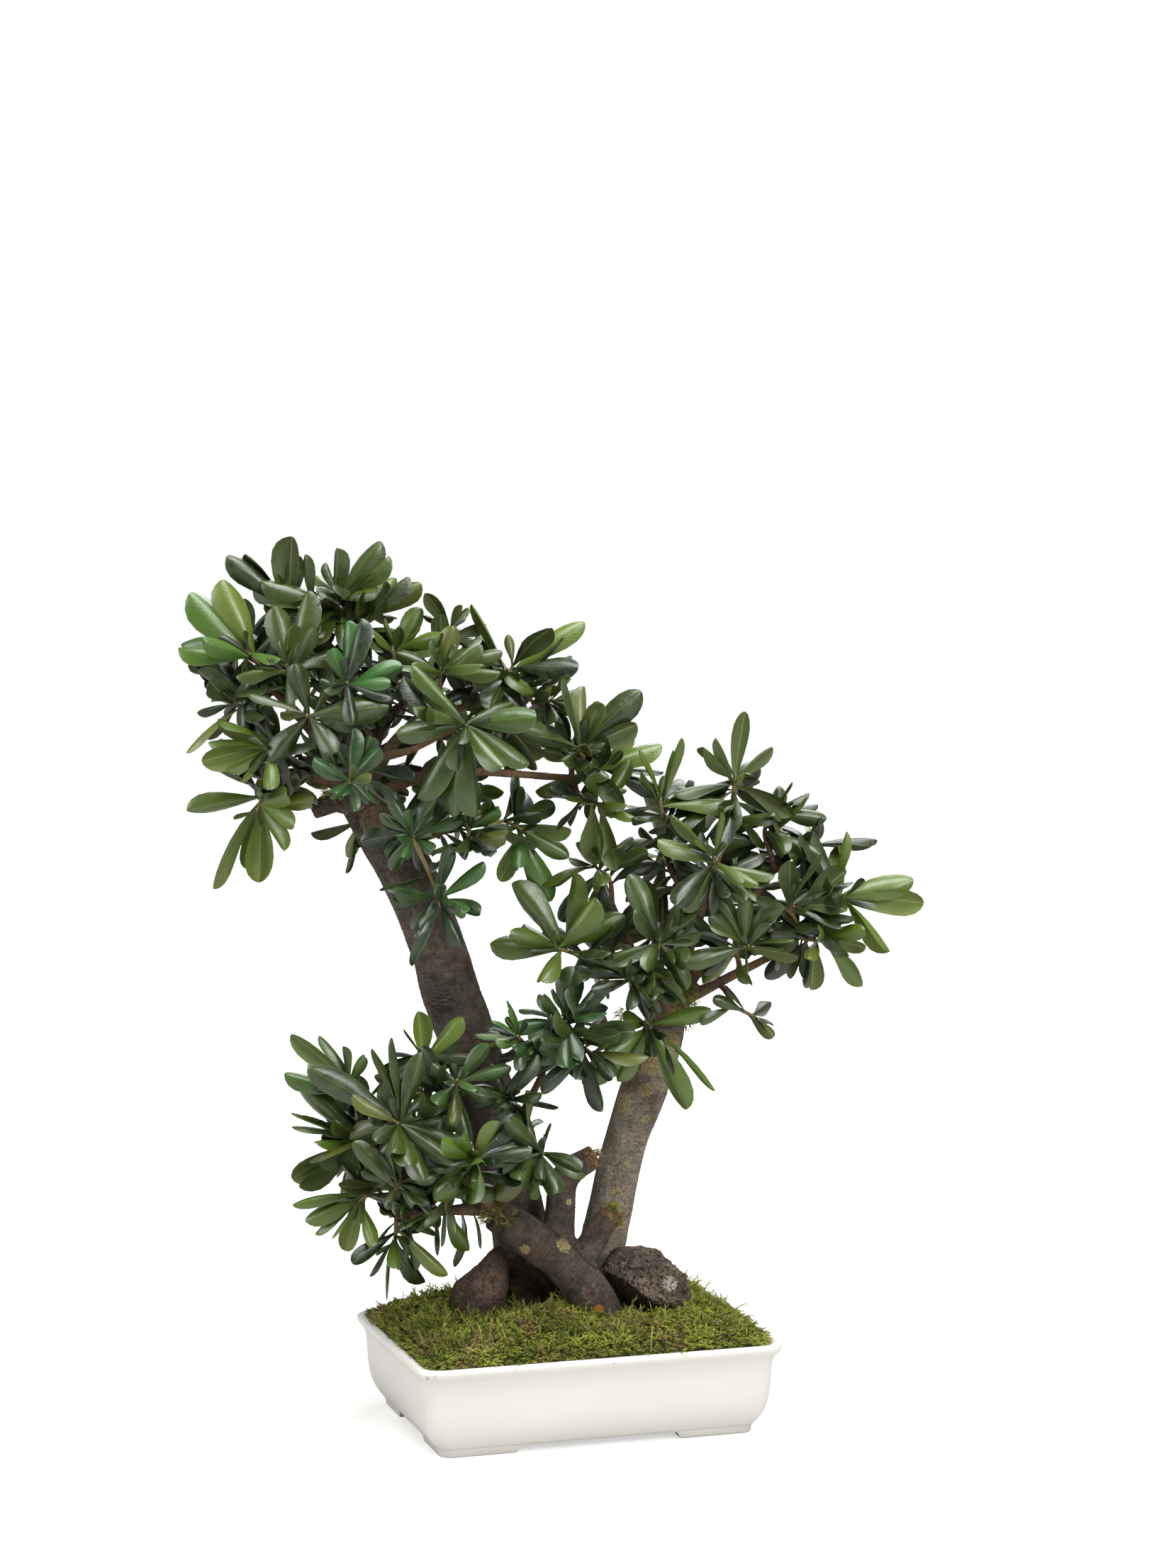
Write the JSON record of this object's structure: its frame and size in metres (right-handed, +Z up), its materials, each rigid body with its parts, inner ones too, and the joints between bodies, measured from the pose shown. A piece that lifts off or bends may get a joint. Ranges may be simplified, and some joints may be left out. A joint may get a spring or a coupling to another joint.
{
  "type": "potted bonsai",
  "caption": "Japanese pittosporum bonsai with leaning trunks and whorls of leathery leaves, in a cream glazed rectangular tray with moss and lava rocks.",
  "frame": {"origin": "on the surface that the tray stands on, under the middle of the outline seen from above", "axes": "+Z up, the tray's long side along X, the tree's front towards -Y"},
  "size_m": [0.5008, 0.2754, 0.6278],
  "materials": {
    "glaze": "satin",
    "soil": "matte",
    "moss": "matte",
    "lava": "matte",
    "bark": "matte",
    "leaf": "satin"
  },
  "bodies": {
    "root": {"tray": "glaze", "soil": "soil", "moss": "moss", "rock_left": "lava", "rock_right": "lava", "trunk_main": "bark", "trunk_right": "bark", "branch_low": "bark", "leaves_main_01": "leaf", "leaves_main_02": "leaf", "leaves_main_03": "leaf", "leaves_main_04": "leaf", "leaves_main_05": "leaf", "leaves_main_06": "leaf", "leaves_main_07": "leaf", "leaves_main_08": "leaf", "leaves_main_09": "leaf", "leaves_main_10": "leaf", "leaves_main_11": "leaf", "leaves_main_12": "leaf", "leaves_main_13": "leaf", "leaves_main_14": "leaf", "leaves_main_15": "leaf", "leaves_main_16": "leaf", "leaves_main_17": "leaf", "leaves_main_18": "leaf", "leaves_main_19": "leaf", "leaves_main_20": "leaf", "leaves_main_21": "leaf", "leaves_main_22": "leaf", "leaves_main_23": "leaf", "leaves_main_24": "leaf", "leaves_right_01": "leaf", "leaves_right_02": "leaf", "leaves_right_03": "leaf", "leaves_right_04": "leaf", "leaves_right_05": "leaf", "leaves_right_06": "leaf", "leaves_right_07": "leaf", "leaves_right_08": "leaf", "leaves_right_09": "leaf", "leaves_right_10": "leaf", "leaves_right_11": "leaf", "leaves_right_12": "leaf", "leaves_right_13": "leaf", "leaves_right_14": "leaf", "leaves_low_01": "leaf", "leaves_low_02": "leaf", "leaves_low_03": "leaf", "leaves_low_04": "leaf", "leaves_low_05": "leaf", "leaves_low_06": "leaf", "leaves_low_07": "leaf", "leaves_low_08": "leaf", "leaves_low_09": "leaf", "leaves_low_10": "leaf", "leaves_low_11": "leaf", "leaves_low_12": "leaf", "leaves_low_13": "leaf", "leaves_low_14": "leaf"}
  },
  "joints": []
}
